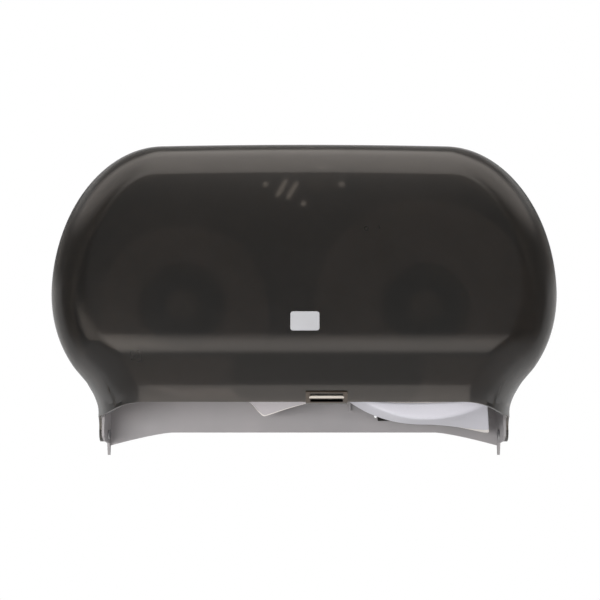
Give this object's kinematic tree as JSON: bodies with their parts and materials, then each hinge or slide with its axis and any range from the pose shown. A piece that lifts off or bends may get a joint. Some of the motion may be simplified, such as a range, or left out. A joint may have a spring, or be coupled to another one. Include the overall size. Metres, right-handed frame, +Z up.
{
  "type": "jumbo toilet roll dispenser",
  "caption": "Wall-mounted twin jumbo toilet roll dispenser with a hinged smoke cover, sliding shutter, turning roll hubs and a key lock.",
  "frame": {"origin": "on the wall face, midway between the two roll axes and 5 mm above them", "axes": "+Z up, +Y into the wall, +X to the right of someone facing the dispenser"},
  "size_m": [0.498, 0.1387, 0.3073],
  "materials": {
    "plate_grey": "fine satin moulding",
    "smoke_cover": "gloss, translucent smoke",
    "smoke_inner": "satin smoke",
    "bronze_clip": "gloss",
    "hub_grey": "satin",
    "bush_ivory": "satin",
    "tissue": "soft matt paper",
    "card": "matt cardboard",
    "badge": "satin, bare",
    "rubber": "matt, moulded",
    "zinc_steel": "zinc plated"
  },
  "bodies": {
    "root": {"back_plate": "plate_grey", "spindle_left": "hub_grey", "spindle_right": "hub_grey", "spindle_screws": "zinc_steel", "retainer_left": "hub_grey", "retainer_right": "hub_grey", "retainer_screws": "zinc_steel", "hinge_pin_left": "zinc_steel", "hinge_pin_right": "zinc_steel", "latch_housing": "hub_grey", "latch_screws": "zinc_steel", "stop_pad": "rubber", "paper_tail_left": "tissue", "paper_tail_right": "tissue"},
    "cover": {"front_cover": "smoke_cover", "badge_plate": "badge", "hinge_bush_left": "smoke_inner", "hinge_bush_right": "smoke_inner", "strike_tab": "smoke_inner", "shutter_track": "smoke_inner"},
    "shutter": {"shutter_panel": "smoke_inner", "slider_clip": "bronze_clip"},
    "roll_left": {"hub_left": "hub_grey", "bush_left": "bush_ivory", "core_left": "card", "paper_roll_left": "tissue"},
    "roll_right": {"hub_right": "hub_grey", "bush_right": "bush_ivory", "core_right": "card", "paper_roll_right": "tissue"},
    "key_barrel": {"key_barrel": "zinc_steel"},
    "latch_bolt": {"latch_bolt": "zinc_steel"}
  },
  "joints": [
    {"name": "cover_hinge", "type": "hinge", "parent": "root", "child": "cover", "pos_m": [0, -0.014, -0.125], "axis": [1, 0, 0], "range_deg": [0, 95]},
    {"name": "shutter_slide", "type": "slide", "parent": "cover", "child": "shutter", "axis": [1, 0, 0], "range_m": [-0.0945, 0.0535]},
    {"name": "left_roll_spin", "type": "hinge", "parent": "root", "child": "roll_left", "pos_m": [-0.117, -0.06, -0.005], "axis": [0, -1, 0], "continuous": true},
    {"name": "right_roll_spin", "type": "hinge", "parent": "root", "child": "roll_right", "pos_m": [0.117, -0.06, -0.005], "axis": [0, -1, 0], "continuous": true},
    {"name": "key_turn", "type": "hinge", "parent": "root", "child": "key_barrel", "pos_m": [0.02, -0.021, 0.148], "axis": [0, 0, 1], "range_deg": [0, 90]},
    {"name": "bolt_slide", "type": "slide", "parent": "root", "child": "latch_bolt", "axis": [1, 0, 0], "range_m": [0, 0.00566]}
  ],
  "couplings": [
    {"joint": "key_turn", "follows": "bolt_slide", "rad_per_m": 277.68}
  ]
}
